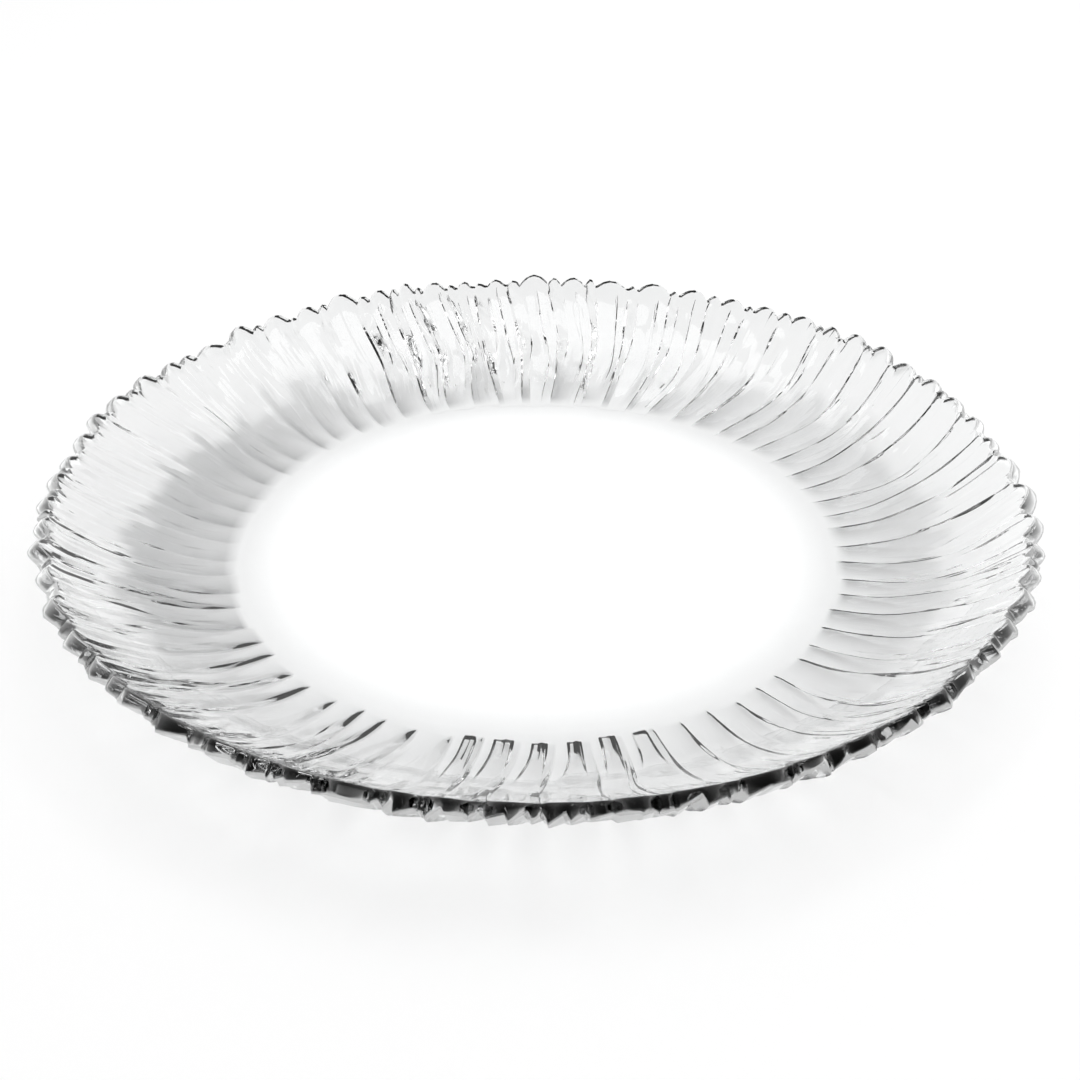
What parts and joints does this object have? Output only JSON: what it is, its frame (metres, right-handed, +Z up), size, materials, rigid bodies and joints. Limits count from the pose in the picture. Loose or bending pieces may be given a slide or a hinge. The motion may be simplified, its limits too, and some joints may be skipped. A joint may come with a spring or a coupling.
{
  "type": "serving plate",
  "caption": "Round clear glass serving plate with a flat plain well, a flaring wall fluted on its underside and a lobed rim.",
  "frame": {"origin": "centre of the flat underside that the plate stands on", "axes": "+Z up along the plate's axis, out of the well; +X to the right and +Y away in the picture's view"},
  "size_m": [0.3223, 0.3226, 0.0329],
  "materials": {
    "clear_glass": "clear colourless pressed glass, fire-polished and smooth"
  },
  "bodies": {
    "root": {"glass_plate": "clear_glass"}
  },
  "joints": []
}
